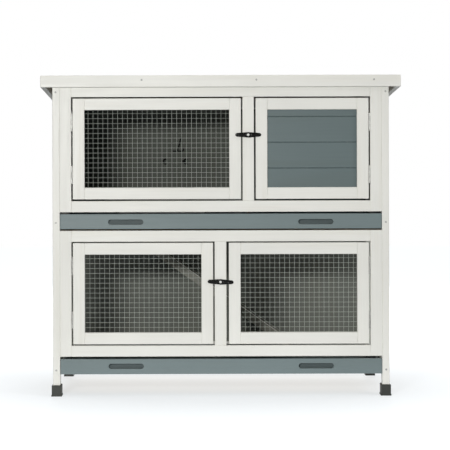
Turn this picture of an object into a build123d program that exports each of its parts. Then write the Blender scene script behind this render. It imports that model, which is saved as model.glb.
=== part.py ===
"""Two-storey rabbit hutch with four doors, two slide-out trays and an inside ramp.

The origin is at the middle of the footprint on the floor. +X is the hutch's right, seen from
the front, +Y is its back and +Z is up. Every length is in millimetres.
"""
import math
import os

from build123d import *

os.makedirs("parts", exist_ok=True)

# ---------------------------------------------------------------- driving dimensions

# Legs and the frames between them
front_y = -276.5                # front face of the legs, frames, doors and trays
back_y = 268.5                  # rear face of the rear legs
leg_outer_x = 545.0
leg_inner_x = 522.0
leg_depth = 38.0
frame_thickness = 18.0
ease = 1.0                      # chamfer on the edges of every board

# Roof
roof_width = 1165.0
roof_front_y = -293.5
roof_back_y = 293.5
roof_top_z = 1038.5
roof_slope = 0.0612             # drop for each millimetre towards the back
roof_under_front_z = 1016.0     # underside of the roof board above the front face of the legs
roof_board_thickness = 12.0
felt_thickness = 2.0
fascia_height = 38.0
fascia_thickness = 15.2

# Heights of the two storeys: rails, doors and trays
upper_frame_z = (596.0, 1013.0)
upper_rail_z = (632.0, 969.0)        # top of the bottom rail, underside of the top rail
lower_frame_z = (128.0, 536.0)
lower_rail_z = (163.5, 500.0)
upper_tray_z = (541.0, 590.0)
lower_tray_z = (71.0, 120.0)
side_stile_inner_x = 484.5
upper_mid_stile_x = (71.0, 108.0)
lower_mid_stile_x = (-20.5, 17.5)

# Doors: name, side of the hinges, width, height
doors = (
    ("upper_left", -1, (-479.5, 66.0), (637.5, 964.5)),
    ("upper_right", 1, (113.5, 479.5), (637.5, 964.5)),
    ("lower_left", -1, (-479.5, -25.5), (168.0, 496.0)),
    ("lower_right", 1, (25.5, 479.5), (168.0, 496.0)),
)
stile_width = 38.0
rail_height = 37.5
infill_lap = 9.0                # how far mesh laps behind a door frame

# Welded mesh
mesh_pitch = 16.0
wire = 1.1
mesh_inset = {"upper_left": (11.0, 11.3), "lower_left": (15.5, 13.8), "lower_right": (15.3, 13.1)}

# Tongued boards
board_thickness = 8.0
board_cover = 83.5
board_groove = 2.0              # V at each visible joint
tongue = (2.4, 4.0)             # width and height
tongue_play = 0.2
panel_rows = 4                  # boards in the closed door's panel
panel_top_row = 22.5            # how much of the top one shows
panel_depth = 7.5               # the panel's face behind the door's

# Hinges of the doors
hinge_x = 482.0
hinge_y = front_y - 0.5
hinge_heights = {"upper": (716.5, 886.5), "lower": (247.0, 421.5)}
hinge_length = 57.0
knuckle_radius = 2.2
pin_radius = 1.0
pin_play = 0.05
knuckle_gap = 0.3
leaf_thickness = 1.0
leaf_depth = 15.0
leaf_relief = 2.5               # a leaf stands back this far where the other leaf's knuckle is

# Turn-button latches: plain tapered bars with rounded ends
latches = (("latch_upper", 89.5, 845.5, 0.0), ("latch_lower", -1.5, 369.5, 2.0))
latch_reach = 36.0
latch_end_radius = 6.0
latch_middle_radius = 9.0
latch_thickness = 3.5
latch_stand_off = 2.0
latch_bore = 2.55
latch_screw_radius = 2.5
latch_screw_head = 4.0

# Trays
tray_front_thickness = 12.0
tray_slot_x = 308.0
tray_slot = (114.0, 17.0)
tray_slot_height = {"upper": 22.5, "lower": 25.5}
pan_half_width = 517.0
pan_back_y = 243.0
pan_height = 40.0
pan_wall = 2.5
pan_play = 0.3                  # gap between a pan and the floor it slides on

# Floors, hatch and ramp
floor_thickness = 5.0
hatch_x = (-353.0, -56.0)
hatch_y = 76.0
ramp_pivot = (-348.4, 537.5)    # X and Z of the ramp's hinge pins
ramp_angle = 35.3               # degrees below level
ramp_length = 718.0
ramp_y = (92.0, 242.0)
ramp_thickness = 12.0
ramp_top = 1.9                  # top face above the hinge pins' axis
ramp_rail = (8.0, 15.0)         # width, and height above the board, of the rails along its edges
rung = (9.0, 5.0)               # width and height
rung_start = 70.0
rung_pitch = 75.0
rung_count = 9
ramp_hinge_y = (128.0, 206.0)
ramp_knuckle_radius = 3.0
ramp_pin_radius = 1.5

# Back wall
back_panel_y = (257.0, 262.0)
back_rail_y = (245.0, 257.0)


# ---------------------------------------------------------------- helpers

def roof_under(y):
    """Height of the roof board's underside at a depth."""
    return roof_under_front_z - roof_slope * (y - front_y)


def span(side, inner, outer):
    """Low and high X of something on the left (-1) or the right (1)."""
    return tuple(sorted((side * inner, side * outer)))


def board(x, y, z, eased=ease):
    """Add a squared board between pairs of coordinates, with its edges eased."""
    with Locations(((x[0] + x[1]) / 2, (y[0] + y[1]) / 2, (z[0] + z[1]) / 2)):
        Box(x[1] - x[0], y[1] - y[0], z[1] - z[0])
    if eased:
        chamfer(edges(Select.LAST), eased)


def side_profile(points, x):
    """Add a piece drawn from the side as (y, z) points, between two X coordinates."""
    with BuildSketch(Plane.YZ.offset(x[0])) as profile:
        with BuildLine():
            Polyline(*points, close=True)
        make_face()
    extrude(profile.sketch, amount=x[1] - x[0])


def front_profile(points, y):
    """Add a piece drawn from the front as (x, z) points, between two Y coordinates."""
    with BuildSketch(Plane.XZ.offset(-y[0])) as profile:
        with BuildLine():
            Polyline(*points, close=True)
        make_face()
    extrude(profile.sketch, amount=y[0] - y[1])


def rod(plane, radius, length):
    """Add a round rod along a plane's normal."""
    with BuildSketch(plane) as profile:
        Circle(radius)
    extrude(profile.sketch, amount=length)


def rod_hole(plane, radius, length):
    """Cut a round hole along a plane's normal."""
    with BuildSketch(plane) as profile:
        Circle(radius)
    extrude(profile.sketch, amount=length, mode=Mode.SUBTRACT)


def tongued_board(plane, length, last=False):
    """Add one tongued board, drawn with its outer face at 0 and its lower edge at 0."""
    middle = board_thickness / 2
    half = tongue[0] / 2
    top = board_cover - 0.3
    slack = half + tongue_play
    with BuildSketch(plane) as profile:
        with BuildLine():
            Polyline(
                (0, board_groove),
                (board_groove, 0),
                (middle - slack, 0),
                (middle - slack, tongue[1] + tongue_play),
                (middle + slack, tongue[1] + tongue_play),
                (middle + slack, 0),
                (board_thickness - board_groove, 0),
                (board_thickness, board_groove),
                (board_thickness, top - board_groove),
                (board_thickness - board_groove, top),
                (board_groove, top),
                (0, top - board_groove),
                close=True,
            )
        make_face()
        if not last:
            with Locations((middle, top)):
                Rectangle(tongue[0], tongue[1], align=(Align.CENTER, Align.MIN))
    extrude(profile.sketch, amount=length)


def welded_mesh(plane, across, up, first):
    """Add welded mesh: upright wires on the plane, level wires in front of them.

    across and up are the sheet's extents in the plane, first is where one upright
    wire and one level wire lie.
    """
    for axis, layer in ((0, plane), (1, plane.offset(wire))):
        low, high = (across, up)[axis]
        start = first[axis] - mesh_pitch * math.floor((first[axis] - low) / mesh_pitch)
        count = math.floor((high - start) / mesh_pitch) + 1
        with BuildSketch(layer) as wires:
            for index in range(count):
                place = start + index * mesh_pitch
                if axis == 0:
                    with Locations((place, sum(up) / 2)):
                        Rectangle(wire, up[1] - up[0])
                else:
                    with Locations((sum(across) / 2, place)):
                        Rectangle(across[1] - across[0], wire)
        extrude(wires.sketch, amount=wire)


def write(piece, name):
    """Label a finished piece and write it."""
    piece.part.label = name
    export_step(piece.part, f"parts/{name}.step")


# ---------------------------------------------------------------- legs and feet

cap_base = 4.0
cap_height = 36.0
cap_wall = 4.25
cap_flare = 1.2
cap_flare_height = 5.0

leg_y = {"front": (front_y, front_y + leg_depth), "rear": (back_y - leg_depth, back_y)}

for end, y in leg_y.items():
    for side_name, side in (("left", -1), ("right", 1)):
        with BuildPart() as leg:
            board(span(side, leg_inner_x, leg_outer_x), y, (cap_base, roof_under(y[1])))
        write(leg, f"leg_{end}_{side_name}")

with BuildPart() as foot_caps:
    for side in (-1, 1):
        for y in leg_y.values():
            x = span(side, leg_inner_x, leg_outer_x)
            outer_x = (x[0] - cap_wall, x[1] + cap_wall)
            outer_y = (y[0] - cap_wall, y[1] + cap_wall)
            board(outer_x, outer_y, (0, cap_height), eased=1.5)
            flare_x = (outer_x[0] - cap_flare, outer_x[1] + cap_flare)
            flare_y = (outer_y[0] - cap_flare, outer_y[1] + cap_flare)
            board(flare_x, flare_y, (0, cap_flare_height), eased=0)
            with Locations((sum(x) / 2, sum(y) / 2, cap_base)):
                Box(
                    leg_outer_x - leg_inner_x,
                    leg_depth,
                    cap_height,
                    align=(Align.CENTER, Align.CENTER, Align.MIN),
                    mode=Mode.SUBTRACT,
                )
write(foot_caps, "foot_caps")

# ---------------------------------------------------------------- front frames

frame_y = (front_y, front_y + frame_thickness)
rail_x = (-side_stile_inner_x, side_stile_inner_x)

storeys = (
    ("upper", upper_frame_z, upper_rail_z, upper_mid_stile_x),
    ("lower", lower_frame_z, lower_rail_z, lower_mid_stile_x),
)
for storey, frame_z, rail_z, mid_x in storeys:
    with BuildPart() as top_rail:
        board(rail_x, frame_y, (rail_z[1], frame_z[1]))
    write(top_rail, f"{storey}_front_top_rail")

    with BuildPart() as bottom_rail:
        board(rail_x, frame_y, (frame_z[0], rail_z[0]))
    write(bottom_rail, f"{storey}_front_bottom_rail")

    with BuildPart() as mid_stile:
        board(mid_x, frame_y, rail_z)
    write(mid_stile, f"{storey}_front_mid_stile")

    with BuildPart() as side_stiles:
        for side in (-1, 1):
            board(span(side, side_stile_inner_x, leg_inner_x), frame_y, frame_z)
    write(side_stiles, f"{storey}_front_side_stiles")

# ---------------------------------------------------------------- sides

side_y = (front_y + leg_depth, back_y - leg_depth)
lower_side_rail_z = lower_tray_z
middle_side_rail_z = (510.0, 590.0)
top_side_rail_height = 42.0
wall_outer_x = 537.0
side_rows = 5
side_mesh_z = (112.0, 515.5)
side_mesh_y = (-257.0, 244.0)

with BuildPart() as side_rails:
    for side in (-1, 1):
        rails_x = span(side, leg_inner_x, leg_outer_x)
        board(rails_x, side_y, lower_side_rail_z)
        board(rails_x, side_y, middle_side_rail_z)
        side_profile(
            (
                (side_y[0], roof_under(side_y[0]) - top_side_rail_height),
                (side_y[1], roof_under(side_y[1]) - top_side_rail_height),
                (side_y[1], roof_under(side_y[1])),
                (side_y[0], roof_under(side_y[0])),
            ),
            rails_x,
        )
write(side_rails, "side_rails")

rail_underside = Plane(
    origin=(0, front_y, roof_under_front_z - top_side_rail_height),
    x_dir=(1, 0, 0),
    z_dir=(0, roof_slope, 1),
)
with BuildPart() as side_boards:
    for side in (-1, 1):
        for row in range(side_rows):
            row_start = (
                side * wall_outer_x,
                side_y[1] if side < 0 else side_y[0],
                middle_side_rail_z[1] + row * board_cover,
            )
            tongued_board(
                Plane(origin=row_start, x_dir=(-side, 0, 0), z_dir=(0, side, 0)),
                side_y[1] - side_y[0],
                last=row == side_rows - 1,
            )
    split(bisect_by=rail_underside, keep=Keep.BOTTOM)
write(side_boards, "side_boards")

with BuildPart() as side_mesh:
    for side in (-1, 1):
        mesh_face = -leg_inner_x if side < 0 else leg_inner_x - 2 * wire
        welded_mesh(
            Plane.YZ.offset(mesh_face),
            side_mesh_y,
            side_mesh_z,
            (side_y[0] + mesh_pitch / 2, lower_side_rail_z[1] + mesh_pitch / 2),
        )
write(side_mesh, "side_mesh")

# ---------------------------------------------------------------- back

back_half_x = leg_inner_x - 0.5
back_joint_z = 545.0
back_top_z = 980.0

with BuildPart() as back_rails:
    for z in (lower_tray_z, upper_tray_z, (944.0, back_top_z)):
        board((-leg_inner_x, leg_inner_x), back_rail_y, z)
write(back_rails, "back_rails")

with BuildPart() as back_panels:
    board((-back_half_x, back_half_x), back_panel_y, (lower_tray_z[0], back_joint_z), eased=0.5)
    board((-back_half_x, back_half_x), back_panel_y, (back_joint_z + 0.5, back_top_z), eased=0.5)
write(back_panels, "back_panels")

# ---------------------------------------------------------------- floors under the trays

upper_floor_y = (front_y + leg_depth, back_rail_y[0])
lower_floor_y = (-190.0, side_y[1])
bearer_width = 20.0
bearer_z = (516.0, upper_tray_z[0] - floor_thickness)
ledge_outer_x = 519.5
right_bearer_x = 412.0

with BuildPart() as tray_floors:
    board(
        (-leg_inner_x, leg_inner_x),
        upper_floor_y,
        (upper_tray_z[0] - floor_thickness, upper_tray_z[0]),
        eased=0.5,
    )
    with Locations((sum(hatch_x) / 2, (hatch_y + upper_floor_y[1]) / 2, bearer_z[1])):
        Box(
            hatch_x[1] - hatch_x[0],
            upper_floor_y[1] - hatch_y,
            4 * floor_thickness,
            mode=Mode.SUBTRACT,
        )
    board(
        (-leg_outer_x, leg_outer_x),
        lower_floor_y,
        (lower_tray_z[0] - floor_thickness, lower_tray_z[0]),
        eased=0.5,
    )
write(tray_floors, "tray_floors")

with BuildPart() as floor_bearers:
    for side in (-1, 1):
        board(span(side, ledge_outer_x - bearer_width, ledge_outer_x), upper_floor_y, bearer_z)
    board((hatch_x[0] + 1 - bearer_width, hatch_x[0] + 1), upper_floor_y, bearer_z)
    board((right_bearer_x, right_bearer_x + bearer_width), upper_floor_y, bearer_z)
write(floor_bearers, "floor_bearers")

# ---------------------------------------------------------------- roof

fascia_inner_x = roof_width / 2 - 16.0
fascia_front_y = roof_front_y + 0.8
deck_y = (fascia_front_y + fascia_thickness, roof_back_y - 16.0)
felt_top = roof_board_thickness + felt_thickness


def roof_layer(x, low, high):
    """Add a layer of the roof between two heights above the board's underside."""
    side_profile(
        (
            (deck_y[0], roof_under(deck_y[0]) + low),
            (deck_y[1], roof_under(deck_y[1]) + low),
            (deck_y[1], roof_under(deck_y[1]) + high),
            (deck_y[0], roof_under(deck_y[0]) + high),
        ),
        x,
    )


with BuildPart() as roof_board:
    roof_layer((-fascia_inner_x, fascia_inner_x), 0, roof_board_thickness)
write(roof_board, "roof_board")

with BuildPart() as roof_felt:
    roof_layer((-fascia_inner_x, fascia_inner_x), roof_board_thickness, felt_top)
write(roof_felt, "roof_felt")

with BuildPart() as roof_front_fascia:
    board(
        (-roof_width / 2, roof_width / 2),
        (fascia_front_y, deck_y[0]),
        (roof_top_z - fascia_height, roof_top_z),
    )
write(roof_front_fascia, "roof_front_fascia")

with BuildPart() as roof_rear_fascia:
    rear_top = roof_under(deck_y[1]) + felt_top
    board(
        (-roof_width / 2, roof_width / 2),
        (deck_y[1], roof_back_y),
        (rear_top - fascia_height, rear_top),
    )
write(roof_rear_fascia, "roof_rear_fascia")

with BuildPart() as roof_side_fascias:
    rise = roof_top_z - roof_under(deck_y[0])
    for side in (-1, 1):
        roof_layer(span(side, fascia_inner_x, roof_width / 2), rise - fascia_height, rise)
write(roof_side_fascias, "roof_side_fascias")

# ---------------------------------------------------------------- nest partition

partition_x = (85.5, 93.5)
partition_y = (front_y + frame_thickness, back_rail_y[0])
partition_bottom_z = 592.0
doorway_y = (-70.0, 110.0)
doorway_top_z = 800.0
doorway_corner = 60.0

with BuildPart() as nest_partition:
    side_profile(
        (
            (partition_y[0], partition_bottom_z),
            (partition_y[1], partition_bottom_z),
            (partition_y[1], roof_under(partition_y[1])),
            (partition_y[0], roof_under(partition_y[0])),
        ),
        partition_x,
    )
    with BuildSketch(Plane.YZ.offset(partition_x[0])) as doorway:
        with BuildLine():
            Line((doorway_y[0], partition_bottom_z), (doorway_y[1], partition_bottom_z))
            Line((doorway_y[1], partition_bottom_z), (doorway_y[1], doorway_top_z - doorway_corner))
            RadiusArc(
                (doorway_y[1], doorway_top_z - doorway_corner),
                (doorway_y[1] - doorway_corner, doorway_top_z),
                -doorway_corner,
            )
            Line(
                (doorway_y[1] - doorway_corner, doorway_top_z),
                (doorway_y[0] + doorway_corner, doorway_top_z),
            )
            RadiusArc(
                (doorway_y[0] + doorway_corner, doorway_top_z),
                (doorway_y[0], doorway_top_z - doorway_corner),
                -doorway_corner,
            )
            Line((doorway_y[0], doorway_top_z - doorway_corner), (doorway_y[0], partition_bottom_z))
        make_face()
    extrude(doorway.sketch, amount=partition_x[1] - partition_x[0], mode=Mode.SUBTRACT)
write(nest_partition, "nest_partition")

# ---------------------------------------------------------------- doors

door_y = frame_y


def hinge_leaf(side, z, frame_side):
    """Add one hinge leaf: the plate on an edge of the gap, and its knuckles.

    The frame's leaf has the two end knuckles and the door's leaf has the middle one.
    """
    third = hinge_length / 3
    low = z - hinge_length / 2
    gap_edge = side_stile_inner_x if frame_side else doors[1][2][1]
    inward = -leaf_thickness if frame_side else leaf_thickness
    plate_x = span(side, gap_edge, gap_edge + inward)
    own = (0, 2) if frame_side else (1,)
    for index in range(3):
        z0 = low + index * third + knuckle_gap / 2
        z1 = low + (index + 1) * third - knuckle_gap / 2
        if index in own:
            board(plate_x, (hinge_y, front_y + leaf_depth), (z0, z1), eased=0)
            knuckle = Plane(origin=(side * hinge_x, hinge_y, z0))
            rod(knuckle, knuckle_radius, z1 - z0)
            rod_hole(knuckle, pin_radius + pin_play, z1 - z0)
    plate_y = (hinge_y + leaf_relief + leaf_thickness, front_y + leaf_depth)
    board(plate_x, plate_y, (low, low + hinge_length), eased=0)


for name, side, x, z in doors:
    window_x = (x[0] + stile_width, x[1] - stile_width)
    window_z = (z[0] + rail_height, z[1] - rail_height)

    with BuildPart() as stiles:
        board((x[0], window_x[0]), door_y, z)
        board((window_x[1], x[1]), door_y, z)
    write(stiles, f"door_{name}_stiles")

    with BuildPart() as rails:
        board(window_x, door_y, (z[0], window_z[0]))
        board(window_x, door_y, (window_z[1], z[1]))
    write(rails, f"door_{name}_rails")

    with BuildPart() as infill:
        if name in mesh_inset:
            across, down = mesh_inset[name]
            welded_mesh(
                Plane.XZ.offset(-door_y[1] - 2 * wire),
                (window_x[0] - infill_lap, window_x[1] + infill_lap),
                (window_z[0] - infill_lap, window_z[1] + infill_lap),
                (window_x[0] + across, window_z[1] - down),
            )
        else:
            start = window_z[1] - panel_top_row - (panel_rows - 1) * board_cover
            for row in range(panel_rows):
                tongued_board(
                    Plane(
                        origin=(window_x[0], door_y[0] + panel_depth, start + row * board_cover),
                        x_dir=(0, 1, 0),
                        z_dir=(1, 0, 0),
                    ),
                    window_x[1] - window_x[0],
                    last=row == panel_rows - 1,
                )
            for limit, keep in ((window_z[0], Keep.TOP), (window_z[1], Keep.BOTTOM)):
                split(bisect_by=Plane.XY.offset(limit), keep=keep)
    write(infill, f"door_{name}_infill")

    with BuildPart() as door_leaves:
        for height in hinge_heights[name.split("_")[0]]:
            hinge_leaf(side, height, frame_side=False)
    write(door_leaves, f"door_{name}_hinge_leaves")

# ---------------------------------------------------------------- latches

latch_back_y = front_y - latch_stand_off
for name, x, z, tilt in latches:
    along_bar = Vector(1, 0, 0).rotate(Axis.Y, tilt)
    latch_plane = Plane(origin=(x, latch_back_y, z), x_dir=along_bar, z_dir=(0, -1, 0))
    with BuildPart() as latch:
        with BuildSketch(latch_plane) as outline:
            Circle(latch_middle_radius)
            with Locations((-latch_reach, 0), (latch_reach, 0)):
                Circle(latch_end_radius)
            make_hull()
            Circle(latch_bore, mode=Mode.SUBTRACT)
        extrude(outline.sketch, amount=latch_thickness)
    write(latch, name)

latch_washer_radius = 5.0
latch_screw_depth = 14.0
latch_head_height = 2.2
latch_play = 0.1
with BuildPart() as latch_screws:
    for name, x, z, tilt in latches:
        wood_face = Plane(origin=(x, front_y, z), x_dir=(1, 0, 0), z_dir=(0, -1, 0))
        head_seat = latch_stand_off + latch_thickness + latch_play
        rod(wood_face, latch_washer_radius, latch_stand_off - latch_play)
        rod(
            wood_face.offset(-latch_screw_depth),
            latch_screw_radius,
            latch_screw_depth + head_seat + latch_head_height / 2,
        )
        rod(wood_face.offset(head_seat), latch_screw_head, latch_head_height)
    chamfer(faces().filter_by(Axis.Y).sort_by(Axis.Y)[:2].edges(), 1.0)
write(latch_screws, "latch_screws")

# ---------------------------------------------------------------- trays


def pan(outline, z):
    """Add an open pan with this plan outline, standing on height z."""
    with BuildSketch(Plane.XY.offset(z)) as plan:
        with BuildLine():
            Polyline(*outline, close=True)
        make_face()
    extrude(plan.sketch, amount=pan_height)
    with BuildSketch(Plane.XY.offset(z + pan_wall)) as inside:
        with BuildLine():
            Polyline(*outline, close=True)
        make_face()
        offset(amount=-pan_wall, kind=Kind.INTERSECTION)
    extrude(inside.sketch, amount=pan_height, mode=Mode.SUBTRACT)


pan_front_y = front_y + tray_front_thickness
notch_x = (hatch_x[0] - 3.0, hatch_x[1] + 3.0)
notch_y = hatch_y - 3.0
full_outline = (
    (-pan_half_width, pan_front_y),
    (pan_half_width, pan_front_y),
    (pan_half_width, pan_back_y),
    (-pan_half_width, pan_back_y),
)
notched_outline = (
    (-pan_half_width, pan_front_y),
    (pan_half_width, pan_front_y),
    (pan_half_width, pan_back_y),
    (notch_x[1], pan_back_y),
    (notch_x[1], notch_y),
    (notch_x[0], notch_y),
    (notch_x[0], pan_back_y),
    (-pan_half_width, pan_back_y),
)
for storey, tray_z, outline in (
    ("upper", upper_tray_z, notched_outline),
    ("lower", lower_tray_z, full_outline),
):
    with BuildPart() as tray_pan:
        pan(outline, tray_z[0] + pan_play)
    write(tray_pan, f"{storey}_tray_pan")

    with BuildPart() as tray_front:
        board((1 - leg_inner_x, leg_inner_x - 1), (front_y, pan_front_y), tray_z)
        hand_height = tray_z[0] + tray_slot_height[storey]
        with BuildSketch(Plane.XZ.offset(-front_y)) as hand_slots:
            with Locations((-tray_slot_x, hand_height), (tray_slot_x, hand_height)):
                SlotOverall(*tray_slot)
        extrude(hand_slots.sketch, amount=-tray_front_thickness, mode=Mode.SUBTRACT)
    write(tray_front, f"{storey}_tray_front")

# ---------------------------------------------------------------- ramp

slope = math.radians(ramp_angle)
down_slope = (math.cos(slope), 0, -math.sin(slope))
above_slope = (math.sin(slope), 0, math.cos(slope))
ramp_end_gap = ramp_knuckle_radius + 1.0


def ramp_slab(along, y, up, eased=ease):
    """Add a squared piece in the ramp's own directions from the hinge pins' axis."""
    plane = Plane(
        origin=(ramp_pivot[0], 0, ramp_pivot[1]), x_dir=down_slope, z_dir=above_slope
    )
    with BuildSketch(plane.offset(up[0])) as profile:
        with Locations((sum(along) / 2, sum(y) / 2)):
            Rectangle(along[1] - along[0], y[1] - y[0])
    extrude(profile.sketch, amount=up[1] - up[0])
    if eased:
        chamfer(edges(Select.LAST), eased)


board_y = (ramp_y[0] + ramp_rail[0], ramp_y[1] - ramp_rail[0])
with BuildPart() as ramp_board:
    ramp_slab((ramp_end_gap, ramp_length), board_y, (ramp_top - ramp_thickness, ramp_top))
write(ramp_board, "ramp_board")

with BuildPart() as ramp_side_rails:
    for y in ((ramp_y[0], board_y[0]), (board_y[1], ramp_y[1])):
        ramp_slab((ramp_end_gap, ramp_length), y, (ramp_top - ramp_thickness, ramp_top + ramp_rail[1]))
write(ramp_side_rails, "ramp_side_rails")

with BuildPart() as ramp_rungs:
    for index in range(rung_count):
        place = rung_start + index * rung_pitch
        ramp_slab((place, place + rung[0]), board_y, (ramp_top, ramp_top + rung[1]))
write(ramp_rungs, "ramp_rungs")

ramp_hinge_length = 48.0
ramp_fixed_leaf = (1.5, 1.0)    # thickness behind the knuckles and of the plate
ramp_fixed_leaf_z = (520.0, 532.0)
ramp_swing_leaf = (24.0, 1.0)   # length along the ramp and thickness
ramp_pivot_plane = Plane(
    origin=(ramp_pivot[0], 0, ramp_pivot[1]), x_dir=(1, 0, 0), z_dir=(0, 1, 0)
)


def ramp_knuckle(y):
    """Add one knuckle round the ramp's hinge pins' axis."""
    rod(ramp_pivot_plane.offset(y[0]), ramp_knuckle_radius, y[1] - y[0])


def ramp_bores(y):
    """Cut the pin's hole through a hinge's knuckles."""
    rod_hole(ramp_pivot_plane.offset(y[0]), ramp_pin_radius + pin_play, y[1] - y[0])


def thirds(middle, length):
    """The three knuckles' low and high places along a hinge."""
    third = length / 3
    low = middle - length / 2
    return [
        (low + index * third + knuckle_gap / 2, low + (index + 1) * third - knuckle_gap / 2)
        for index in range(3)
    ]


bearer_face_x = hatch_x[0] + 1.0
with BuildPart() as hinge_fixed_leaves:
    for heights in hinge_heights.values():
        for height in heights:
            for side in (-1, 1):
                hinge_leaf(side, height, frame_side=True)
    for middle in ramp_hinge_y:
        first, second, third_knuckle = thirds(middle, ramp_hinge_length)
        whole = (first[0], third_knuckle[1])
        for knuckle in (first, third_knuckle):
            ramp_knuckle(knuckle)
            board(
                (bearer_face_x, bearer_face_x + ramp_fixed_leaf[0]),
                knuckle,
                (ramp_fixed_leaf_z[0], ramp_pivot[1]),
                eased=0,
            )
        board((bearer_face_x, bearer_face_x + ramp_fixed_leaf[1]), whole, ramp_fixed_leaf_z, eased=0)
        ramp_bores(whole)
write(hinge_fixed_leaves, "hinge_fixed_leaves")

with BuildPart() as ramp_hinge_leaves:
    for middle in ramp_hinge_y:
        first, second, third_knuckle = thirds(middle, ramp_hinge_length)
        whole = (first[0], third_knuckle[1])
        ramp_knuckle(second)
        leaf_up = (ramp_top, ramp_top + ramp_swing_leaf[1])
        ramp_slab((0, ramp_swing_leaf[0]), second, leaf_up, eased=0)
        ramp_slab((ramp_end_gap, ramp_swing_leaf[0]), whole, leaf_up, eased=0)
        ramp_bores(whole)
write(ramp_hinge_leaves, "ramp_hinge_leaves")

with BuildPart() as hinge_pins:
    for heights in hinge_heights.values():
        for height in heights:
            for side in (-1, 1):
                pin_plane = Plane(origin=(side * hinge_x, hinge_y, height - hinge_length / 2))
                rod(pin_plane, pin_radius, hinge_length)
    for middle in ramp_hinge_y:
        rod(
            ramp_pivot_plane.offset(middle - ramp_hinge_length / 2),
            ramp_pin_radius,
            ramp_hinge_length,
        )
write(hinge_pins, "hinge_pins")

with BuildPart() as ramp_rest:
    rest_x = (172.0, 189.0)
    rest_front_y = 200.0
    rest_bottom_z = 124.0
    rest_play = 0.3
    ramp_underside = [
        ramp_pivot[1]
        - (x - ramp_pivot[0]) * math.tan(slope)
        + (ramp_top - ramp_thickness - rest_play) / math.cos(slope)
        for x in rest_x
    ]
    front_profile(
        (
            (rest_x[0], rest_bottom_z),
            (rest_x[1], rest_bottom_z),
            (rest_x[1], ramp_underside[1]),
            (rest_x[0], ramp_underside[0]),
        ),
        (rest_front_y, back_panel_y[0]),
    )
write(ramp_rest, "ramp_rest")

# ---------------------------------------------------------------- hanger and hooks on the back wall

wall_y = back_panel_y[0]
hanger_wire = 2.0
hanger_reach = 9.0
hanger_bend = 4.0
hanger_hole = (-135.5, 840.0)   # X and Z of the wire's hole in the wall
hanger_bar_z = 796.0
hanger_bar_x = (-164.0, -126.0)
hook_wire = 2.4
hook_radius = 8.5
hook_reach = 12.0
hook_flange = (6.0, 1.5)        # radius and thickness
hook_x = (-189.0, -116.0)
hook_z = 759.0

with BuildPart() as bottle_hanger:
    hanger_y = wall_y - hanger_reach
    with BuildLine() as stroke:
        FilletPolyline(
            (hanger_hole[0], wall_y, hanger_hole[1]),
            (hanger_hole[0], hanger_y, hanger_hole[1]),
            (hanger_hole[0] - 11.5, hanger_y, hanger_bar_z),
            radius=hanger_bend,
        )
    with BuildSketch(Plane(origin=stroke.line @ 0, z_dir=(0, -1, 0))):
        Circle(hanger_wire)
    sweep(path=stroke.line)
    with BuildLine() as bar:
        FilletPolyline(
            (hanger_bar_x[0], hanger_y, hanger_bar_z),
            (hanger_bar_x[1], hanger_y, hanger_bar_z),
            (hanger_bar_x[1], hanger_y, hanger_bar_z + 12.0),
            radius=hanger_bend,
        )
    with BuildSketch(Plane(origin=bar.line @ 0, z_dir=(1, 0, 0))):
        Circle(hanger_wire)
    sweep(path=bar.line)
write(bottle_hanger, "bottle_hanger")

with BuildPart() as feeder_hooks:
    for x in hook_x:
        shank = Plane(
            origin=(x - hook_radius, wall_y, hook_z), x_dir=(1, 0, 0), z_dir=(0, -1, 0)
        )
        rod(shank, hook_wire, hook_reach + hook_wire)
        rod(shank, *hook_flange)
        with BuildLine() as curl:
            CenterArc((0, 0), hook_radius, 60, 240)
        curl_plane = Plane(
            origin=(x, wall_y - hook_reach, hook_z), x_dir=(1, 0, 0), z_dir=(0, -1, 0)
        )
        curl_path = curl_plane.from_local_coords(curl.line)
        with BuildSketch(Plane(origin=curl_path @ 0, z_dir=curl_path % 0)):
            Circle(hook_wire)
        sweep(path=curl_path)
write(feeder_hooks, "feeder_hooks")

# ---------------------------------------------------------------- screws

frame_screw_x = 534.5
frame_screw_heights = (84.0, 562.0, 985.0)
fascia_screw_places = (-255.0, 116.0, 496.0)
fascia_screw_z = 1023.5
frame_screw_length = 62.0
fascia_screw_length = 40.0
screw_head = (3.3, 0.8)         # radius, and height above the wood
screw_seat = 0.6                # depth of the head in the wood
screw_shank_radius = 1.8


def wood_screw(x, y, z, length):
    """Add a screw with its head just proud of a front face at y."""
    face = Plane(origin=(x, y, z), x_dir=(1, 0, 0), z_dir=(0, -1, 0))
    rod(face.offset(-length), screw_shank_radius, length)
    rod(face.offset(-screw_seat), screw_head[0], screw_seat + screw_head[1])


with BuildPart() as frame_screws:
    for height in frame_screw_heights:
        for side in (-1, 1):
            wood_screw(side * frame_screw_x, front_y, height, frame_screw_length)
write(frame_screws, "frame_screws")

with BuildPart() as fascia_screws:
    for screw_x in fascia_screw_places:
        wood_screw(screw_x, fascia_front_y, fascia_screw_z, fascia_screw_length)
write(fascia_screws, "fascia_screws")
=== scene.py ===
"""Looks of the rabbit hutch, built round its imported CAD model.

Every length is in metres in the model's own frame: +X is the hutch's right seen from the front,
+Y is its back, +Z is up and the floor is at 0.
"""

import math
import random

import bmesh
import bpy
from mathutils import Matrix, Vector


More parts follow.
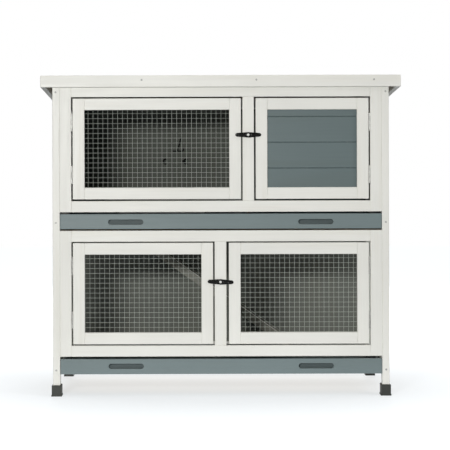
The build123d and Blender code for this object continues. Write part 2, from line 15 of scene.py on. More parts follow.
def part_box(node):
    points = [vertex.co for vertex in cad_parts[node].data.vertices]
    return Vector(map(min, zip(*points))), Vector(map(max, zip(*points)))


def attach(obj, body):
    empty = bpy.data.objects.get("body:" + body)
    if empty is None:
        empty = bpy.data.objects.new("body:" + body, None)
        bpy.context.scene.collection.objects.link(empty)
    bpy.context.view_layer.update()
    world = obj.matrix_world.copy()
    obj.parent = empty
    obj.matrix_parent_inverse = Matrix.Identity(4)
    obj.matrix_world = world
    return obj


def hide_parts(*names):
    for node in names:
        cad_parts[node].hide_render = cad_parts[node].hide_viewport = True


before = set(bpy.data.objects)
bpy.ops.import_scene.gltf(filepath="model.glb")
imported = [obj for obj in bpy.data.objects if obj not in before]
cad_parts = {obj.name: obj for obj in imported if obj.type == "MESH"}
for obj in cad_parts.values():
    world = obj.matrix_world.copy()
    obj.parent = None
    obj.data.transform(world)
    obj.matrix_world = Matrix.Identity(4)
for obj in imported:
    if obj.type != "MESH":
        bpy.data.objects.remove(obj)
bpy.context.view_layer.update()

MM = 0.001
scene = bpy.context.scene
luck = random.Random(20)

# ---------------------------------------------------------------- material helpers


class Paintbox:
    """One material's node tree, with short calls for the nodes that it uses."""

    def __init__(self, name, slope=0.0):
        self.slope = slope
        self.material = bpy.data.materials.new(name)
        self.material.use_nodes = True
        self.tree = self.material.node_tree
        self.shader = self.tree.nodes["Principled BSDF"]

    def node(self, kind, **links):
        """A new node, with its inputs set to values or linked to other nodes' outputs."""
        made = self.tree.nodes.new(kind)
        for key, value in links.items():
            self.put(made.inputs[key.replace("_", " ")], value)
        return made

    def put(self, socket, value):
        if isinstance(value, bpy.types.NodeSocket):
            self.tree.links.new(value, socket)
        else:
            socket.default_value = value

    def place(self, scale, shift=(0.0, 0.0, 0.0)):
        """Object coordinates, levelled on a sloping piece, scaled for each axis and shifted."""
        where = self.levelled("Object")
        mapping = self.node("ShaderNodeMapping", Vector=where, Location=shift, Scale=scale)
        return mapping.outputs["Vector"]

    def levelled(self, kind):
        """The object's own coordinates or normal, turned level on a sloping piece."""
        where = self.tree.nodes.new("ShaderNodeTexCoord").outputs[kind]
        if self.slope:
            level = self.node("ShaderNodeVectorRotate", Vector=where, Angle=-self.slope)
            level.rotation_type = "Y_AXIS"
            where = level.outputs["Vector"]
        return where

    def noise(self, vector, scale=1.0, detail=3.0, rough=0.55, bend=0.0):
        made = self.node("ShaderNodeTexNoise", Vector=vector, Scale=scale, Detail=detail)
        made.inputs["Roughness"].default_value = rough
        made.inputs["Distortion"].default_value = bend
        return made.outputs["Fac"]

    def cells(self, vector, scale, output="Distance", feature="F1", jitter=1.0):
        made = self.node("ShaderNodeTexVoronoi", Vector=vector, Scale=scale)
        made.feature = feature
        made.inputs["Randomness"].default_value = jitter
        return made.outputs[output]

    def remap(self, value, low, high, to_low=0.0, to_high=1.0):
        made = self.tree.nodes.new("ShaderNodeMapRange")
        for index, number in enumerate((value, low, high, to_low, to_high)):
            self.put(made.inputs[index], number)
        return made.outputs["Result"]

    def maths(self, operation, first, second=0.0):
        made = self.tree.nodes.new("ShaderNodeMath")
        made.operation = operation
        self.put(made.inputs[0], first)
        self.put(made.inputs[1], second)
        return made.outputs["Value"]

    def blend(self, share, first, second, kind="MIX"):
        made = self.tree.nodes.new("ShaderNodeMix")
        made.data_type = "RGBA"
        made.blend_type = kind
        self.put(made.inputs[0], share)
        self.put(made.inputs[6], first)
        self.put(made.inputs[7], second)
        return made.outputs[2]

    def rounded(self, radius, samples=6):
        """The surface's normal as if its edges had this radius."""
        made = self.node("ShaderNodeBevel", Radius=radius)
        made.samples = samples
        return made.outputs["Normal"]

    def edges(self, soft_normal, low, high):
        """1 at sharp outer edges, 0 on faces, from a rounded normal."""
        geometry = self.tree.nodes.new("ShaderNodeNewGeometry")
        turn = self.tree.nodes.new("ShaderNodeVectorMath")
        turn.operation = "DOT_PRODUCT"
        self.put(turn.inputs[0], soft_normal)
        self.put(turn.inputs[1], geometry.outputs["Normal"])
        return self.remap(turn.outputs["Value"], low, high, 1.0, 0.0)

    def bump(self, height, strength, depth, normal=None):
        made = self.node("ShaderNodeBump", Strength=strength, Distance=depth, Height=height)
        if normal is not None:
            self.put(made.inputs["Normal"], normal)
        return made.outputs["Normal"]

    def finish(self, colour, rough, normal=None, **fixed):
        self.put(self.shader.inputs["Base Color"], colour)
        self.put(self.shader.inputs["Roughness"], rough)
        if normal is not None:
            self.put(self.shader.inputs["Normal"], normal)
        for key, value in fixed.items():
            self.shader.inputs[key.replace("_", " ")].default_value = value
        return self.material


def shade(colour, factor):
    """A colour made darker or lighter."""
    return tuple(part * factor for part in colour[:3]) + (1.0,)


def along(axis, fine, coarse):
    """Texture scales for grain that runs along one axis."""
    return tuple(coarse if axis == index else fine for index in range(3))


# ---------------------------------------------------------------- materials

WHITE = (0.815, 0.81, 0.765, 1.0)
WHITE_WORN = (0.60, 0.53, 0.41, 1.0)
BLUE_GREY = (0.175, 0.222, 0.228, 1.0)
# darker than BLUE_GREY: painted shade for the door panel recessed behind its frame
PANEL_GREY = (0.128, 0.170, 0.174, 1.0)
BLUE_GREY_WORN = (0.33, 0.34, 0.31, 1.0)
WALL_WHITE = (0.171, 0.183, 0.163, 1.0)
# painted shade: how much darker the back wall is above the upper floor
UPPER_WALL_SHADE = (0.595, 0.600, 0.585, 1.0)
PINE = (0.60, 0.42, 0.23, 1.0)
PINE_LATE = (0.40, 0.24, 0.11, 1.0)
RAMP_WHITE = (0.222, 0.236, 0.214, 1.0)
# near black: painted shade for the inner faces of the side walls
INSIDE_SHADE_GREY = (0.050, 0.053, 0.047, 1.0)
CAP_BLACK = (0.034, 0.037, 0.032, 1.0)
PAN_GREY = (0.075, 0.100, 0.103, 1.0)
BOARD_COVER = 83.5 * MM


def painted_wood(
    name, paint, worn, axis, number, wear=0.5, rough=0.42, board_from=None, grain=1.0, inside=None
):
    """Brushed paint on softwood, with its grain showing through along one axis.

    board_from is the height where tongued boards start, and inside is how far from the
    middle plane the colour changes to a near-black grey, painted shade inside the hutch.
    """
    box = Paintbox(name)
    shift = (number * 1.7, number * 2.3, number * 3.1)
    streaks = box.noise(box.place(along(axis, 150.0, 5.0), shift), 1.0, 5.0, 0.6)
    rings = box.noise(box.place(along(axis, 34.0, 1.6), shift), 1.0, 3.0, 0.5, 0.6)
    brush = box.noise(box.place(along(axis, 620.0, 14.0), shift), 1.0, 3.0, 0.6)
    cloud = box.noise(box.place((3.1, 3.1, 3.1), shift), 1.0, 3.0, 0.5)
    specks = box.noise(box.place((900.0, 900.0, 900.0), shift), 1.0, 2.0, 0.5)

    colour = box.blend(box.remap(cloud, 0.3, 0.7, 0.0, 1.0), shade(paint, 0.955), shade(paint, 1.03))
    grain_tint = shade((paint[0] * 0.97, paint[1] * 0.94, paint[2] * 0.87), 0.93)
    colour = box.blend(box.remap(rings, 0.52, 0.78, 0.0, 0.38 * grain), colour, grain_tint)
    colour = box.blend(box.remap(streaks, 0.46, 0.80, 0.0, 0.30 * grain), colour, shade(paint, 0.84))
    colour = box.blend(box.remap(brush, 0.35, 0.72, 0.0, 0.16), colour, shade(paint, 1.08))
    if board_from is not None:
        row = box.place((0.0, 0.0, 1.0 / BOARD_COVER), (0.0, 0.0, -board_from / BOARD_COVER))
        step = box.node("ShaderNodeVectorMath", Vector=row)
        step.operation = "FLOOR"
        tone = box.node("ShaderNodeTexWhiteNoise", Vector=step.outputs["Vector"])
        colour = box.blend(
            box.remap(tone.outputs["Value"], 0.0, 1.0, 0.0, 0.5), colour, shade(paint, 0.86)
        )

    soft = box.rounded(1.3 * MM)
    edge = box.edges(box.rounded(2.6 * MM, 4), 0.80, 0.985)
    patches = box.remap(box.noise(box.place((55.0, 55.0, 55.0), shift), 1.0, 4.0, 0.7), 0.50, 0.66)
    rubbed = box.maths("MULTIPLY", box.maths("MULTIPLY", edge, patches), wear)
    colour = box.blend(rubbed, colour, worn)

    if inside is not None:
        # Painted shade: faces nearer the middle than inside are made near black, darkening the hutch's
        # interior.
        across = box.node("ShaderNodeSeparateXYZ", Vector=box.place((1.0, 1.0, 1.0)))
        shaded_inside = box.maths("LESS_THAN", box.maths("ABSOLUTE", across.outputs["X"]), inside)
        colour = box.blend(box.maths("MULTIPLY", shaded_inside, 0.94), colour, INSIDE_SHADE_GREY)

    sheen = box.remap(streaks, 0.3, 0.75, rough - 0.05, rough + 0.12)
    sheen = box.maths("ADD", sheen, box.maths("MULTIPLY", rubbed, 0.3))
    height = box.maths("MULTIPLY", streaks, 0.6)
    height = box.maths("ADD", height, box.maths("MULTIPLY", brush, 0.28))
    height = box.maths("ADD", height, box.maths("MULTIPLY", rings, 0.5))
    height = box.maths("ADD", height, box.maths("MULTIPLY", specks, 0.12))
    normal = box.bump(height, 0.34, 0.55 * MM, soft)
    return box.finish(colour, sheen, normal, Specular_IOR_Level=0.38)


def plywood_paint(name, number, joint, outside):
    """Flat paint on plywood, its pores and rays just showing.

    It is grey within, darker above the height joint as painted shade, and white behind the depth
    outside.
    """
    box = Paintbox(name)
    shift = (number * 1.3, number * 2.1, number * 0.7)
    pores = box.noise(box.place((260.0, 260.0, 9.0), shift), 1.0, 4.0, 0.65)
    figure = box.noise(box.place((16.0, 16.0, 1.7), shift), 1.0, 3.0, 0.5, 1.1)
    cloud = box.noise(box.place((2.4, 2.4, 2.4), shift), 1.0, 3.0, 0.5)
    colour = box.blend(
        box.remap(cloud, 0.3, 0.7), shade(WALL_WHITE, 0.93), shade(WALL_WHITE, 1.05)
    )
    tint = (WALL_WHITE[0] * 0.93, WALL_WHITE[1] * 0.89, WALL_WHITE[2] * 0.78, 1.0)
    colour = box.blend(box.remap(figure, 0.48, 0.74, 0.0, 0.45), colour, tint)
    colour = box.blend(box.remap(pores, 0.55, 0.80, 0.0, 0.35), colour, shade(WALL_WHITE, 0.72))
    lift = tuple(WHITE[part] / WALL_WHITE[part] for part in range(3)) + (1.0,)
    outer = box.blend(1.0, colour, lift, "MULTIPLY")
    where = box.node("ShaderNodeSeparateXYZ", Vector=box.place((1.0, 1.0, 1.0)))
    upper = box.maths("GREATER_THAN", where.outputs["Z"], joint)
    # Painted shade: the back wall above the joint is made darker, as the upper storey is darker
    # inside.
    thin = box.blend(1.0, colour, UPPER_WALL_SHADE, "MULTIPLY")
    colour = box.blend(upper, colour, thin)
    colour = box.blend(box.maths("GREATER_THAN", where.outputs["Y"], outside), colour, outer)
    normal = box.bump(pores, 0.25, 0.4 * MM, box.rounded(0.8 * MM, 4))
    return box.finish(
        colour, box.remap(pores, 0.3, 0.75, 0.55, 0.72), normal, Specular_IOR_Level=0.3
    )


def highlight_breakup(box):
    """How strong a painted highlight on an edge is, from place to place."""
    return box.remap(box.noise(box.place((40.0, 40.0, 40.0)), 1.0, 3.0, 0.6), 0.3, 0.5, 0.7, 1.0)


def bare_pine(name, axis, number, paint_share=0.0, slope=0.0, shade_factor=1.0, highlight_front_of=None):
    """Planed softwood with growth rings, or with a thin coat of paint over them.

    Its upper faces in front of the given depth are painted white, a painted highlight.
    """
    box = Paintbox(name, slope)
    shift = (number * 2.9, number * 1.1, number * 1.9)
    warp = box.noise(box.place(along(axis, 9.0, 0.9), shift), 1.0, 2.0, 0.5, 0.4)
    bands = box.maths("SINE", box.maths("MULTIPLY", warp, 68.0))
    bands = box.remap(bands, -0.2, 1.0)
    fibres = box.noise(box.place(along(axis, 420.0, 9.0), shift), 1.0, 4.0, 0.6)
    cloud = box.noise(box.place((5.0, 5.0, 5.0), shift), 1.0, 3.0, 0.5)
    # The factor darkens the wood: painted shade for pieces inside the hutch.
    late = shade(PINE_LATE, shade_factor)
    early = box.blend(
        box.remap(cloud, 0.3, 0.7), shade(PINE, 0.92 * shade_factor), shade(PINE, 1.1 * shade_factor)
    )
    colour = box.blend(box.remap(bands, 0.35, 1.0, 0.0, 0.6), early, late)
    colour = box.blend(box.remap(fibres, 0.5, 0.8, 0.0, 0.3), colour, shade(late, 0.9))
    if paint_share:
        thin = box.remap(box.maths("ADD", fibres, box.maths("MULTIPLY", bands, 0.12)), 0.38, 0.80)
        cover = box.remap(thin, 0.0, 1.0, paint_share, paint_share - 0.12)
        colour = box.blend(cover, colour, RAMP_WHITE)
    # Painted highlight: upper faces in front of the depth are made white.
    if highlight_front_of is not None:
        facing = box.node("ShaderNodeSeparateXYZ", Vector=box.levelled("Normal"))
        where = box.node("ShaderNodeSeparateXYZ", Vector=box.levelled("Object"))
        top = box.remap(facing.outputs["Z"], 0.60, 0.72)
        top = box.maths("MULTIPLY", top, box.maths("LESS_THAN", where.outputs["Y"], highlight_front_of))
        colour = box.blend(box.maths("MULTIPLY", top, highlight_breakup(box)), colour, WHITE)
    height = box.maths("ADD", box.maths("MULTIPLY", bands, 0.35), fibres)
    normal = box.bump(height, 0.3, 0.5 * MM, box.rounded(1.2 * MM, 4))
    return box.finish(
        colour, box.remap(fibres, 0.3, 0.75, 0.52, 0.70), normal, Specular_IOR_Level=0.35
    )


def zinc(name, base, rough, number, metal=0.9):
    """Zinc on steel: a mottled spangle, fine scratches and a little white bloom."""
    box = Paintbox(name)
    shift = (number * 0.9, number * 1.9, number * 0.3)
    spangle = box.cells(box.place((210.0, 210.0, 210.0), shift), 1.0, "Color")
    spangle = box.remap(box.node("ShaderNodeRGBToBW", Color=spangle).outputs["Val"], 0.2, 0.8)
    bloom = box.noise(box.place((120.0, 120.0, 120.0), shift), 1.0, 4.0, 0.6)
    scratch = box.noise(box.place((900.0, 900.0, 60.0), shift), 1.0, 3.0, 0.5)
    colour = box.blend(spangle, shade(base, 0.86), shade(base, 1.08))
    colour = box.blend(box.remap(bloom, 0.55, 0.75, 0.0, 0.5), colour, shade(base, 0.66))
    normal = box.bump(box.maths("ADD", scratch, box.maths("MULTIPLY", bloom, 0.8)), 0.18, 0.12 * MM)
    return box.finish(
        colour, box.remap(bloom, 0.3, 0.7, rough, rough + 0.2), normal, Metallic=metal
    )


def black_casting(name):
    """Rough sand casting under a coat of black lacquer, lighter on its high edges: partly rubbed wear,
    partly a painted highlight.
    """
    box = Paintbox(name)
    sand = box.noise(box.place((1500.0, 1500.0, 1500.0)), 1.0, 4.0, 0.6)
    pits = box.cells(box.place((620.0, 620.0, 620.0)), 1.0)
    cloud = box.noise(box.place((130.0, 130.0, 130.0)), 1.0, 3.0, 0.5)
    geometry = box.tree.nodes.new("ShaderNodeNewGeometry")
    # High edges lighter: partly rubbed lacquer, partly a painted highlight.
    ridge_wear_and_highlight = box.remap(geometry.outputs["Pointiness"], 0.505, 0.57)
    colour = box.blend(box.remap(cloud, 0.3, 0.7), (0.002, 0.002, 0.002, 1), (0.006, 0.006, 0.005, 1))
    colour = box.blend(
        box.maths("MULTIPLY", ridge_wear_and_highlight, box.remap(cloud, 0.4, 0.62, 0.2, 0.9)),
        colour,
        (0.26, 0.26, 0.24, 1.0),
    )
    height = box.maths("ADD", box.maths("MULTIPLY", sand, 0.6), box.maths("MULTIPLY", pits, 0.5))
    normal = box.bump(height, 0.25, 0.14 * MM)
    return box.finish(
        colour, box.remap(sand, 0.3, 0.75, 0.15, 0.27), normal, Specular_IOR_Level=0.32
    )


def coated_wire(name):
    """Black lacquer on bent wire, thinner and greyer here and there."""
    box = Paintbox(name)
    cloud = box.noise(box.place((260.0, 260.0, 260.0)), 1.0, 4.0, 0.6)
    fine = box.noise(box.place((1800.0, 1800.0, 1800.0)), 1.0, 2.0, 0.5)
    colour = box.blend(box.remap(cloud, 0.35, 0.7), (0.003, 0.003, 0.003, 1), (0.010, 0.010, 0.009, 1))
    normal = box.bump(fine, 0.2, 0.1 * MM)
    sheen = box.remap(cloud, 0.3, 0.7, 0.45, 0.62)
    return box.finish(colour, sheen, normal, Specular_IOR_Level=0.18)


def moulded_plastic(name, base, grain, rough, number):
    """Moulded plastic: fine spark-eroded grain, flow marks and scuffed edges."""
    box = Paintbox(name)
    shift = (number * 1.4, number * 0.8, number * 2.2)
    texture = box.noise(box.place((grain, grain, grain), shift), 1.0, 3.0, 0.6)
    flow = box.noise(box.place((9.0, 9.0, 4.0), shift), 1.0, 3.0, 0.5, 0.9)
    scuffs = box.noise(box.place((70.0, 240.0, 70.0), shift), 1.0, 4.0, 0.7)
    colour = box.blend(box.remap(flow, 0.3, 0.7), shade(base, 0.9), shade(base, 1.12))
    colour = box.blend(box.remap(scuffs, 0.58, 0.72, 0.0, 0.35), colour, shade(base, 1.7))
    edge = box.edges(box.rounded(1.6 * MM, 4), 0.80, 0.985)
    colour = box.blend(box.maths("MULTIPLY", edge, 0.45), colour, shade(base, 1.9))
    normal = box.bump(texture, 0.3, 0.16 * MM, box.rounded(0.9 * MM, 4))
    return box.finish(
        colour, box.remap(scuffs, 0.3, 0.7, rough, rough + 0.16), normal, Specular_IOR_Level=0.42
    )


def mineral_felt(name):
    """Bitumen felt faced with stone granules, in a few shades, with bald spots between them."""
    box = Paintbox(name)
    where = box.place((520.0, 520.0, 520.0))
    stone = box.cells(where, 1.0, "Color")
    tone = box.node("ShaderNodeRGBToBW", Color=stone).outputs["Val"]
    gap = box.cells(where, 1.0)
    cloud = box.noise(box.place((5.0, 3.0, 5.0)), 1.0, 4.0, 0.6)
    colour = box.blend(tone, (0.055, 0.062, 0.058, 1.0), (0.20, 0.215, 0.20, 1.0))
    colour = box.blend(box.remap(gap, 0.35, 0.62, 0.0, 0.75), colour, (0.02, 0.02, 0.019, 1.0))
    colour = box.blend(box.remap(cloud, 0.3, 0.7, 0.0, 0.3), colour, (0.10, 0.105, 0.095, 1.0))
    normal = box.bump(box.maths("SUBTRACT", 1.0, gap), 0.7, 0.9 * MM)
    return box.finish(colour, box.remap(gap, 0.1, 0.6, 0.75, 0.95), normal, Specular_IOR_Level=0.3)


X, Y, Z = 0, 1, 2
WOOD_NODES = {
    "white": (
        (Z, ("leg_front_left", "leg_front_right", "leg_rear_left", "leg_rear_right")),
        (Z, ("upper_front_mid_stile", "upper_front_side_stiles")),
        (Z, ("lower_front_mid_stile", "lower_front_side_stiles")),
        (Z, tuple(f"door_{door}_stiles" for door in ("upper_left", "upper_right"))),
        (Z, tuple(f"door_{door}_stiles" for door in ("lower_left", "lower_right"))),
        (X, tuple(f"door_{door}_rails" for door in ("upper_left", "upper_right"))),
        (X, tuple(f"door_{door}_rails" for door in ("lower_left", "lower_right"))),
        (X, ("upper_front_top_rail", "upper_front_bottom_rail")),
        (X, ("lower_front_top_rail", "lower_front_bottom_rail")),
        (X, ("roof_front_fascia", "roof_rear_fascia", "back_rails")),
        (Y, ("roof_side_fascias", "side_rails")),
    ),
    "pine": (
        (Y, ("roof_board", "floor_bearers")),
        (X, ("tray_floors",)),
        (Z, ("nest_partition", "ramp_rest")),
    ),
}
# Painted shade: factors that darken the pine inside the hutch, dimming its interior.
INNER_WOOD_SHADE = {"nest_partition": 0.18, "roof_board": 0.3, "tray_floors": 0.6}
DOORS = ("upper_left", "upper_right", "lower_left", "lower_right")


def paint_node(name, material):
    """Give a CAD node one material."""
    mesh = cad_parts[name].data
    mesh.materials.clear()
    mesh.materials.append(material)


def dress_frame():
    """Give every CAD node that stays in view its material."""
    number = 0
    for axis, names in WOOD_NODES["white"]:
        for name in names:
            number += 1
            paint_node(name, painted_wood(f"white_{name}", WHITE, WHITE_WORN, axis, number))
    for axis, names in WOOD_NODES["pine"]:
        for name in names:
            number += 1
            paint_node(name, bare_pine(f"pine_{name}", axis, number, shade_factor=INNER_WOOD_SHADE.get(name, 1.0)))
    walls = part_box("side_boards")
    boards = painted_wood(
        "white_side_boards",
        WHITE,
        WHITE_WORN,
        Y,
        31,
        board_from=walls[0].z,
        inside=walls[1].x - 4.0 * MM,
    )
    paint_node("side_boards", boards)
    grey_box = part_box("door_upper_right_infill")
    paint_node(
        "door_upper_right_infill",
        painted_wood(
            "grey_panel", PANEL_GREY, BLUE_GREY_WORN, X, 32, 0.6, 0.40, grey_box[1].z, 1.3
        ),
    )
    for number, tray in ((33, "upper_tray_front"), (34, "lower_tray_front")):
        paint_node(
            tray, painted_wood(f"grey_{tray}", BLUE_GREY, BLUE_GREY_WORN, X, number, 0.6, 0.40)
        )
    floor_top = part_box("tray_floors")[1].z
    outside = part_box("back_panels")[1].y - 1.0 * MM
    paint_node("back_panels", plywood_paint("wall_paint", 35, floor_top, outside))
    low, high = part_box("ramp_side_rails")
    slope = math.atan2(high.z - low.z, high.x - low.x)
    for number, (node, axis) in enumerate(
        (("ramp_board", X), ("ramp_rungs", Y), ("ramp_side_rails", X))
    ):
        # The ramp's front side rail gets a painted highlight along its top.
        edge = (low.y + high.y) / 2 if node == "ramp_side_rails" else None
        paint_node(node, bare_pine(node, axis, 50 + number, 0.99, slope, highlight_front_of=edge))
    steel = zinc("hinge_zinc", (0.55, 0.55, 0.53, 1.0), 0.34, 38)
    for name in ("hinge_fixed_leaves", "hinge_pins", "ramp_hinge_leaves"):
        paint_node(name, steel)
    for door in DOORS:
        paint_node(f"door_{door}_hinge_leaves", steel)
    wire = coated_wire("black_wire")
    for name in ("bottle_hanger", "feeder_hooks"):
        paint_node(name, wire)
    paint_node("foot_caps", moulded_plastic("cap_plastic", CAP_BLACK, 1500.0, 0.42, 39))
    pan = moulded_plastic("pan_plastic", PAN_GREY, 900.0, 0.46, 40)
    for name in ("upper_tray_pan", "lower_tray_pan"):
        paint_node(name, pan)
    paint_node("roof_felt", mineral_felt("roof_felt"))


# ---------------------------------------------------------------- mesh helpers


def new_piece(name, bm, body, slot, material, *nodes, sharp=35.0):
    """Make an object of a bmesh, riding on a body and standing for CAD nodes."""
    bmesh.ops.recalc_face_normals(bm, faces=bm.faces)
    mesh = bpy.data.meshes.new(name)
    bm.to_mesh(mesh)
    bm.free()
    mesh.shade_smooth()
    mesh.set_sharp_from_angle(angle=math.radians(sharp))
    mesh.materials.append(material)
    made = bpy.data.objects.new(name, mesh)
    scene.collection.objects.link(made)
    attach(made, body)
    if nodes:
        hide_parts(*nodes)
    return made


def tube(bm, points, radius, sides=8):
    """Add a round rod along points, closed at both ends."""
    rings = []
    for index, point in enumerate(points):
        before = points[max(index - 1, 0)]
        after = points[min(index + 1, len(points) - 1)]
        line = (after - before).normalized()
        guide = Vector((0, 1, 0)) if abs(line.y) < 0.9 else Vector((1, 0, 0))
        across = line.cross(guide).normalized()
        other = line.cross(across)
        ring = []
        for step in range(sides):
            angle = 2 * math.pi * step / sides
            offset = across * math.cos(angle) + other * math.sin(angle)
            ring.append(bm.verts.new(point + offset * radius))
        rings.append(ring)
    for low, high in zip(rings, rings[1:]):
        for step in range(sides):
            following = (step + 1) % sides
            bm.faces.new((low[step], low[following], high[following], high[step]))
    bm.faces.new(list(reversed(rings[0])))
    bm.faces.new(rings[-1])


# ---------------------------------------------------------------- welded mesh

WIRE_RADIUS = 0.56 * MM
WIRE_PLAY = 0.08 * MM           # how far a drawn wire wanders from a straight line
NUGGET = 0.78 * MM


def wire_places(points, across, up, depth):
    """Middles of the wires that run one way in a mesh sheet, and how deep they lie.

    They are found where they end, on whichever edge of the sheet they reach.
    """
    places, lies = [], 0.0
    for edge in (min(point[up] for point in points), max(point[up] for point in points)):
        ends = [point for point in points if abs(point[up] - edge) < 1e-5]
        values = sorted({round(point[across], 5) for point in ends})
        found = [(low + high) / 2 for low, high in zip(values[::2], values[1::2])]
        if len(found) > len(places):
            places, lies = found, sum(point[depth] for point in ends) / len(ends)
    return places, lies


def welded_sheet(bm, points, across, depth):
    """Add round wires and their welds where a CAD sheet's square wires are."""
    low = [min(point[axis] for point in points) for axis in range(3)]
    high = [max(point[axis] for point in points) for axis in range(3)]
    uprights, upright_depth = wire_places(points, across, Z, depth)
    levels, level_depth = wire_places(points, Z, across, depth)
    middle = (low[depth] + high[depth]) / 2

    def spot(a, d, z):
        place = [0.0, 0.0, z]
        place[across] = a
        place[depth] = d
        return Vector(place)

    def wander():
        return luck.uniform(-WIRE_PLAY, WIRE_PLAY)

    for a in uprights:
        stops = [low[Z]] + levels + [high[Z]]
        tube(bm, [spot(a + wander(), upright_depth, z) for z in stops], WIRE_RADIUS)
    for z in levels:
        stops = [low[across]] + uprights + [high[across]]
        tube(bm, [spot(a, level_depth, z + wander()) for a in stops], WIRE_RADIUS)
    squash = Matrix.Diagonal((1.0, 1.0, 1.0, 1.0))
    squash[depth][depth] = 0.7
    for a in uprights:
        for z in levels:
            nugget = bmesh.ops.create_icosphere(bm, subdivisions=1, radius=NUGGET)
            bmesh.ops.transform(
                bm, matrix=Matrix.Translation(spot(a, middle, z)) @ squash, verts=nugget["verts"]
            )


def node_points(name):
    return [tuple(vertex.co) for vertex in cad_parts[name].data.vertices]


def make_meshes():
    """Round welded wire in place of the plain grids of three doors and both sides."""
    material = zinc("mesh_zinc", (0.63, 0.67, 0.61, 1.0), 0.36, 41)
    for door in DOORS:
        if door == "upper_right":
            continue
        bm = bmesh.new()
        node = f"door_{door}_infill"
        welded_sheet(bm, node_points(node), X, Y)
        new_piece(f"{door}_wire_mesh", bm, f"door_{door}", "mesh_wire", material, node)
    bm = bmesh.new()
    points = node_points("side_mesh")
    for side in (-1, 1):
        welded_sheet(bm, [point for point in points if point[X] * side > 0], Y, X)
    new_piece("side_wire_mesh", bm, "hutch", "mesh_wire", material, "side_mesh")


# ---------------------------------------------------------------- screws

HEAD_STEPS = 36
SCREW_HEAD_HEIGHT = 0.8 * MM
SCREW_SHANK = 1.8 * MM
SHANK_TUCK = 0.05 * MM          # how far a shank's end stays below its head
LATCH_HEAD_HEIGHT = 2.2 * MM
LATCH_HEAD_RADIUS = 4.0 * MM
LATCH_SHANK = 2.5 * MM
SPACER_RADIUS = 5.0 * MM
SPACER_LENGTH = 1.9 * MM


def front_facing(x, y, z):
    """Matrix from a drawing's own axes to a place on the front: its third axis points to -Y."""
    turn = Matrix(((1, 0, 0), (0, 0, -1), (0, 1, 0))).to_4x4()
    return Matrix.Translation((x, y, z)) @ turn


def cross_depth(x, y, radius):
    """Depth of a cross recess at a place on a screw head, as a share of its deepest."""
    arm = radius * 0.62
    half = radius * 0.15
    depth = 0.0
    for a, b in ((x, y), (y, x)):
        inside = min(half - abs(b), arm - abs(a))
        if inside > 0:
            depth = max(depth, min(1.0, inside / (half * 0.45)) * (1.0 - 0.45 * abs(a) / arm))
    return depth


def domed_head(bm, matrix, radius, height, spin):
    """Add a domed screw head with a cross recess, standing on the matrix's own plane."""
    shares = (0.10, 0.18, 0.26, 0.34, 0.42, 0.50, 0.58, 0.66, 0.76, 0.86, 0.94, 1.0)
    turn = Matrix.Rotation(spin, 4, "Z")
    centre = bm.verts.new(matrix @ Vector((0, 0, height * 0.55)))
    rings = []
    for share in shares:
        ring = []
        for step in range(HEAD_STEPS):
            angle = 2 * math.pi * step / HEAD_STEPS
            x, y = radius * share * math.cos(angle), radius * share * math.sin(angle)
            dome = height * (0.35 + 0.65 * math.sqrt(max(0.0, 1 - share**2.6)))
            up = dome - 0.5 * height * cross_depth(x, y, radius)
            ring.append(bm.verts.new(matrix @ turn @ Vector((x, y, up))))
        rings.append(ring)
    base = []
    for step in range(HEAD_STEPS):
        angle = 2 * math.pi * step / HEAD_STEPS
        place = Vector((radius * math.cos(angle), radius * math.sin(angle), 0))
        base.append(bm.verts.new(matrix @ turn @ place))
    rings.append(base)
    for step in range(HEAD_STEPS):
        following = (step + 1) % HEAD_STEPS
        bm.faces.new((centre, rings[0][step], rings[0][following]))
        for inner, outer in zip(rings, rings[1:]):
            bm.faces.new((inner[step], outer[step], outer[following], inner[following]))
    bm.faces.new(list(reversed(base)))


def round_bar(bm, matrix, radius, low, high, sides=20):
    """Add a plain turned length between two heights above the matrix's plane."""
    rings = []
    for height in (low, high):
        ring = []
        for step in range(sides):
            angle = 2 * math.pi * step / sides
            place = Vector((radius * math.cos(angle), radius * math.sin(angle), height))
            ring.append(bm.verts.new(matrix @ place))
        rings.append(ring)
    for step in range(sides):
        following = (step + 1) % sides
        bm.faces.new((rings[0][step], rings[0][following], rings[1][following], rings[1][step]))
    bm.faces.new(list(reversed(rings[0])))
    bm.faces.new(rings[1])


def islands(name):
    """The boxes of a CAD node's separate solids."""
    bm = bmesh.new()
    bm.from_mesh(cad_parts[name].data)
    bmesh.ops.remove_doubles(bm, verts=bm.verts, dist=1e-6)
    bm.verts.ensure_lookup_table()
    seen, boxes = set(), []
    for start in bm.verts:
        if start in seen:
            continue
        stack, group = [start], []
        seen.add(start)
        while stack:
            vertex = stack.pop()
            group.append(vertex.co.copy())
            for link in vertex.link_edges:
                other = link.other_vert(vertex)
                if other not in seen:
                    seen.add(other)
                    stack.append(other)
        low = Vector([min(point[axis] for point in group) for axis in range(3)])
        high = Vector([max(point[axis] for point in group) for axis in range(3)])
        boxes.append((low, high))
    bm.free()
    return boxes


